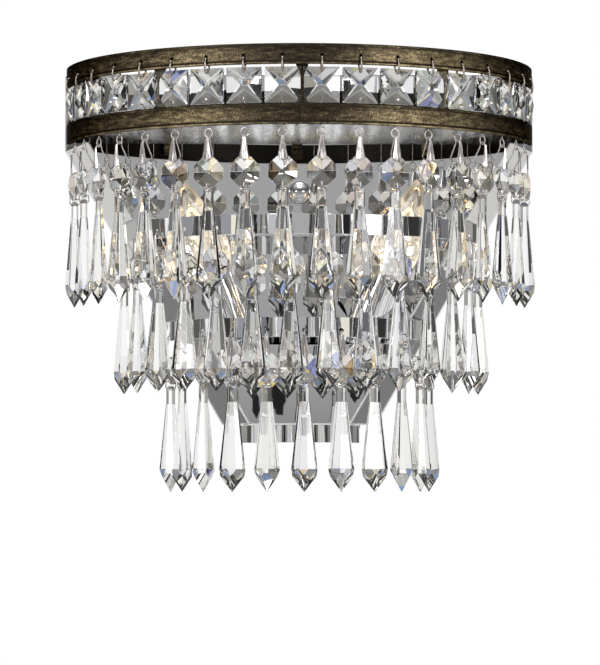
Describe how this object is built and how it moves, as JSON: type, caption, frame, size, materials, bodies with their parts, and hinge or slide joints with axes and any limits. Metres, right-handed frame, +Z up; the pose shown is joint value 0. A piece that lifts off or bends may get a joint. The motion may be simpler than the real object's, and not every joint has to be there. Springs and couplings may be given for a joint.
{
  "type": "crystal wall sconce",
  "caption": "Half-round wall sconce: bronze bands and chrome rings on a mirror-polished wall plate, hung with tiers of cut-glass strands that swing.",
  "frame": {"origin": "on the wall, on the axis of the stud and cap nut that hold the wall plate, midway between the two wall screw holes", "axes": "+X to the right seen from the room, +Z up, -Y out from the wall into the room"},
  "size_m": [0.306, 0.1547, 0.2748],
  "materials": {
    "mirror_chrome": "mirror-polished plated sheet",
    "polished_chrome": "polished plating",
    "zinc_steel": "zinc-plated steel",
    "rubbed_bronze": "dark bronze rubbed through to gold",
    "wire": "plated wire",
    "crystal": "cut and polished clear crystal",
    "socket_plastic": "moulded lamp holder",
    "bulb_glass": "clear candle bulb"
  },
  "bodies": {
    "fixture": {"wall_plate": "mirror_chrome", "crossbar": "zinc_steel", "mount_stud": "zinc_steel", "cap_nut": "polished_chrome", "top_band": "rubbed_bronze", "lower_band": "rubbed_bronze", "band_struts": "rubbed_bronze", "middle_ring": "polished_chrome", "lower_ring": "polished_chrome", "bottom_ring": "polished_chrome", "square_crystals": "crystal", "square_hooks": "wire", "eye_links": "wire", "lamp_arms": "polished_chrome", "lamp_sleeves": "polished_chrome", "lamp_sockets": "socket_plastic", "bulbs": "bulb_glass"},
    "upper_strand_01": {"upper_strand_01": "crystal"},
    "upper_strand_02": {"upper_strand_02": "crystal"},
    "upper_strand_03": {"upper_strand_03": "crystal"},
    "upper_strand_04": {"upper_strand_04": "crystal"},
    "upper_strand_05": {"upper_strand_05": "crystal"},
    "upper_strand_06": {"upper_strand_06": "crystal"},
    "upper_strand_07": {"upper_strand_07": "crystal"},
    "upper_strand_08": {"upper_strand_08": "crystal"},
    "upper_strand_09": {"upper_strand_09": "crystal"},
    "upper_strand_10": {"upper_strand_10": "crystal"},
    "upper_strand_11": {"upper_strand_11": "crystal"},
    "upper_strand_12": {"upper_strand_12": "crystal"},
    "upper_strand_13": {"upper_strand_13": "crystal"},
    "upper_strand_14": {"upper_strand_14": "crystal"},
    "upper_strand_15": {"upper_strand_15": "crystal"},
    "upper_strand_16": {"upper_strand_16": "crystal"},
    "upper_strand_17": {"upper_strand_17": "crystal"},
    "upper_strand_18": {"upper_strand_18": "crystal"},
    "middle_strand_01": {"middle_strand_01": "crystal"},
    "middle_strand_02": {"middle_strand_02": "crystal"},
    "middle_strand_03": {"middle_strand_03": "crystal"},
    "middle_strand_04": {"middle_strand_04": "crystal"},
    "middle_strand_05": {"middle_strand_05": "crystal"},
    "middle_strand_06": {"middle_strand_06": "crystal"},
    "middle_strand_07": {"middle_strand_07": "crystal"},
    "middle_strand_08": {"middle_strand_08": "crystal"},
    "middle_strand_09": {"middle_strand_09": "crystal"},
    "middle_strand_10": {"middle_strand_10": "crystal"},
    "middle_strand_11": {"middle_strand_11": "crystal"},
    "middle_strand_12": {"middle_strand_12": "crystal"},
    "middle_strand_13": {"middle_strand_13": "crystal"},
    "middle_strand_14": {"middle_strand_14": "crystal"},
    "lower_strand_01": {"lower_strand_01": "crystal"},
    "lower_strand_02": {"lower_strand_02": "crystal"},
    "lower_strand_03": {"lower_strand_03": "crystal"},
    "lower_strand_04": {"lower_strand_04": "crystal"},
    "lower_strand_05": {"lower_strand_05": "crystal"},
    "lower_strand_06": {"lower_strand_06": "crystal"},
    "lower_strand_07": {"lower_strand_07": "crystal"},
    "lower_strand_08": {"lower_strand_08": "crystal"},
    "lower_strand_09": {"lower_strand_09": "crystal"},
    "lower_strand_10": {"lower_strand_10": "crystal"},
    "lower_strand_11": {"lower_strand_11": "crystal"}
  },
  "joints": [
    {"name": "upper_swing_01", "type": "hinge", "parent": "fixture", "child": "upper_strand_01", "pos_m": [-0.14499, -0.03254, 0.02385], "axis": [-0.219, 0.9757, 0], "range_deg": [-8, 35]},
    {"name": "upper_swing_02", "type": "hinge", "parent": "fixture", "child": "upper_strand_02", "pos_m": [-0.13802, -0.05506, 0.02385], "axis": [-0.3706, 0.9288, 0], "range_deg": [-8, 35]},
    {"name": "upper_swing_03", "type": "hinge", "parent": "fixture", "child": "upper_strand_03", "pos_m": [-0.12757, -0.0762, 0.02385], "axis": [-0.5128, 0.8585, 0], "range_deg": [-8, 35]},
    {"name": "upper_swing_04", "type": "hinge", "parent": "fixture", "child": "upper_strand_04", "pos_m": [-0.11392, -0.09542, 0.02385], "axis": [-0.6421, 0.7666, 0], "range_deg": [-8, 35]},
    {"name": "upper_swing_05", "type": "hinge", "parent": "fixture", "child": "upper_strand_05", "pos_m": [-0.09739, -0.11223, 0.02385], "axis": [-0.7553, 0.6554, 0], "range_deg": [-8, 35]},
    {"name": "upper_swing_06", "type": "hinge", "parent": "fixture", "child": "upper_strand_06", "pos_m": [-0.07842, -0.12623, 0.02385], "axis": [-0.8494, 0.5277, 0], "range_deg": [-8, 35]},
    {"name": "upper_swing_07", "type": "hinge", "parent": "fixture", "child": "upper_strand_07", "pos_m": [-0.05747, -0.13704, 0.02385], "axis": [-0.9222, 0.3867, 0], "range_deg": [-8, 35]},
    {"name": "upper_swing_08", "type": "hinge", "parent": "fixture", "child": "upper_strand_08", "pos_m": [-0.03507, -0.1444, 0.02385], "axis": [-0.9718, 0.236, 0], "range_deg": [-8, 35]},
    {"name": "upper_swing_09", "type": "hinge", "parent": "fixture", "child": "upper_strand_09", "pos_m": [-0.01179, -0.14813, 0.02385], "axis": [-0.9968, 0.0793, 0], "range_deg": [-8, 35]},
    {"name": "upper_swing_10", "type": "hinge", "parent": "fixture", "child": "upper_strand_10", "pos_m": [0.01179, -0.14813, 0.02385], "axis": [-0.9968, -0.0793, 0], "range_deg": [-8, 35]},
    {"name": "upper_swing_11", "type": "hinge", "parent": "fixture", "child": "upper_strand_11", "pos_m": [0.03507, -0.1444, 0.02385], "axis": [-0.9718, -0.236, 0], "range_deg": [-8, 35]},
    {"name": "upper_swing_12", "type": "hinge", "parent": "fixture", "child": "upper_strand_12", "pos_m": [0.05747, -0.13704, 0.02385], "axis": [-0.9222, -0.3867, 0], "range_deg": [-8, 35]},
    {"name": "upper_swing_13", "type": "hinge", "parent": "fixture", "child": "upper_strand_13", "pos_m": [0.07842, -0.12623, 0.02385], "axis": [-0.8494, -0.5277, 0], "range_deg": [-8, 35]},
    {"name": "upper_swing_14", "type": "hinge", "parent": "fixture", "child": "upper_strand_14", "pos_m": [0.09739, -0.11223, 0.02385], "axis": [-0.7553, -0.6554, 0], "range_deg": [-8, 35]},
    {"name": "upper_swing_15", "type": "hinge", "parent": "fixture", "child": "upper_strand_15", "pos_m": [0.11392, -0.09542, 0.02385], "axis": [-0.6421, -0.7666, 0], "range_deg": [-8, 35]},
    {"name": "upper_swing_16", "type": "hinge", "parent": "fixture", "child": "upper_strand_16", "pos_m": [0.12757, -0.0762, 0.02385], "axis": [-0.5128, -0.8585, 0], "range_deg": [-8, 35]},
    {"name": "upper_swing_17", "type": "hinge", "parent": "fixture", "child": "upper_strand_17", "pos_m": [0.13802, -0.05506, 0.02385], "axis": [-0.3706, -0.9288, 0], "range_deg": [-8, 35]},
    {"name": "upper_swing_18", "type": "hinge", "parent": "fixture", "child": "upper_strand_18", "pos_m": [0.14499, -0.03254, 0.02385], "axis": [-0.219, -0.9757, 0], "range_deg": [-8, 35]},
    {"name": "middle_swing_01", "type": "hinge", "parent": "fixture", "child": "middle_strand_01", "pos_m": [-0.11284, -0.0345, -0.0319], "axis": [-0.2924, 0.9563, 0], "range_deg": [-8, 20]},
    {"name": "middle_swing_02", "type": "hinge", "parent": "fixture", "child": "middle_strand_02", "pos_m": [-0.1036, -0.05649, -0.0319], "axis": [-0.4787, 0.878, 0], "range_deg": [-8, 20]},
    {"name": "middle_swing_03", "type": "hinge", "parent": "fixture", "child": "middle_strand_03", "pos_m": [-0.09013, -0.07616, -0.0319], "axis": [-0.6455, 0.7638, 0], "range_deg": [-8, 20]},
    {"name": "middle_swing_04", "type": "hinge", "parent": "fixture", "child": "middle_strand_04", "pos_m": [-0.07297, -0.09273, -0.0319], "axis": [-0.7859, 0.6184, 0], "range_deg": [-8, 20]},
    {"name": "middle_swing_05", "type": "hinge", "parent": "fixture", "child": "middle_strand_05", "pos_m": [-0.05284, -0.10551, -0.0319], "axis": [-0.8942, 0.4478, 0], "range_deg": [-8, 20]},
    {"name": "middle_swing_06", "type": "hinge", "parent": "fixture", "child": "middle_strand_06", "pos_m": [-0.03054, -0.11398, -0.0319], "axis": [-0.9659, 0.2588, 0], "range_deg": [-8, 20]},
    {"name": "middle_swing_07", "type": "hinge", "parent": "fixture", "child": "middle_strand_07", "pos_m": [-0.007, -0.11779, -0.0319], "axis": [-0.9982, 0.0593, 0], "range_deg": [-8, 20]},
    {"name": "middle_swing_08", "type": "hinge", "parent": "fixture", "child": "middle_strand_08", "pos_m": [0.01683, -0.11679, -0.0319], "axis": [-0.9898, -0.1426, 0], "range_deg": [-8, 20]},
    {"name": "middle_swing_09", "type": "hinge", "parent": "fixture", "child": "middle_strand_09", "pos_m": [0.03997, -0.11102, -0.0319], "axis": [-0.9409, -0.3387, 0], "range_deg": [-8, 20]},
    {"name": "middle_swing_10", "type": "hinge", "parent": "fixture", "child": "middle_strand_10", "pos_m": [0.06148, -0.10072, -0.0319], "axis": [-0.8536, -0.521, 0], "range_deg": [-8, 20]},
    {"name": "middle_swing_11", "type": "hinge", "parent": "fixture", "child": "middle_strand_11", "pos_m": [0.08048, -0.0863, -0.0319], "axis": [-0.7314, -0.682, 0], "range_deg": [-8, 20]},
    {"name": "middle_swing_12", "type": "hinge", "parent": "fixture", "child": "middle_strand_12", "pos_m": [0.09619, -0.06836, -0.0319], "axis": [-0.5793, -0.8151, 0], "range_deg": [-8, 20]},
    {"name": "middle_swing_13", "type": "hinge", "parent": "fixture", "child": "middle_strand_13", "pos_m": [0.10797, -0.04762, -0.0319], "axis": [-0.4035, -0.915, 0], "range_deg": [-8, 20]},
    {"name": "middle_swing_14", "type": "hinge", "parent": "fixture", "child": "middle_strand_14", "pos_m": [0.11534, -0.02494, -0.0319], "axis": [-0.2113, -0.9774, 0], "range_deg": [-8, 20]},
    {"name": "lower_swing_01", "type": "hinge", "parent": "fixture", "child": "lower_strand_01", "pos_m": [-0.0833, -0.01695, -0.0944], "axis": [-0.1994, 0.9799, 0], "range_deg": [-8, 20]},
    {"name": "lower_swing_02", "type": "hinge", "parent": "fixture", "child": "lower_strand_02", "pos_m": [-0.0754, -0.03925, -0.0944], "axis": [-0.4617, 0.887, 0], "range_deg": [-8, 20]},
    {"name": "lower_swing_03", "type": "hinge", "parent": "fixture", "child": "lower_strand_03", "pos_m": [-0.06166, -0.05851, -0.0944], "axis": [-0.6884, 0.7254, 0], "range_deg": [-8, 20]},
    {"name": "lower_swing_04", "type": "hinge", "parent": "fixture", "child": "lower_strand_04", "pos_m": [-0.04314, -0.07324, -0.0944], "axis": [-0.8616, 0.5075, 0], "range_deg": [-8, 20]},
    {"name": "lower_swing_05", "type": "hinge", "parent": "fixture", "child": "lower_strand_05", "pos_m": [-0.02128, -0.0823, -0.0944], "axis": [-0.9681, 0.2504, 0], "range_deg": [-8, 20]},
    {"name": "lower_swing_06", "type": "hinge", "parent": "fixture", "child": "lower_strand_06", "pos_m": [0.00223, -0.08497, -0.0944], "axis": [-0.9997, -0.0262, 0], "range_deg": [-8, 20]},
    {"name": "lower_swing_07", "type": "hinge", "parent": "fixture", "child": "lower_strand_07", "pos_m": [0.02556, -0.08107, -0.0944], "axis": [-0.9537, -0.3007, 0], "range_deg": [-8, 20]},
    {"name": "lower_swing_08", "type": "hinge", "parent": "fixture", "child": "lower_strand_08", "pos_m": [0.04692, -0.07088, -0.0944], "axis": [-0.8339, -0.5519, 0], "range_deg": [-8, 20]},
    {"name": "lower_swing_09", "type": "hinge", "parent": "fixture", "child": "lower_strand_09", "pos_m": [0.06464, -0.05521, -0.0944], "axis": [-0.6494, -0.7604, 0], "range_deg": [-8, 20]},
    {"name": "lower_swing_10", "type": "hinge", "parent": "fixture", "child": "lower_strand_10", "pos_m": [0.07735, -0.03525, -0.0944], "axis": [-0.4147, -0.91, 0], "range_deg": [-8, 20]},
    {"name": "lower_swing_11", "type": "hinge", "parent": "fixture", "child": "lower_strand_11", "pos_m": [0.08407, -0.01256, -0.0944], "axis": [-0.1478, -0.989, 0], "range_deg": [-8, 20]}
  ]
}
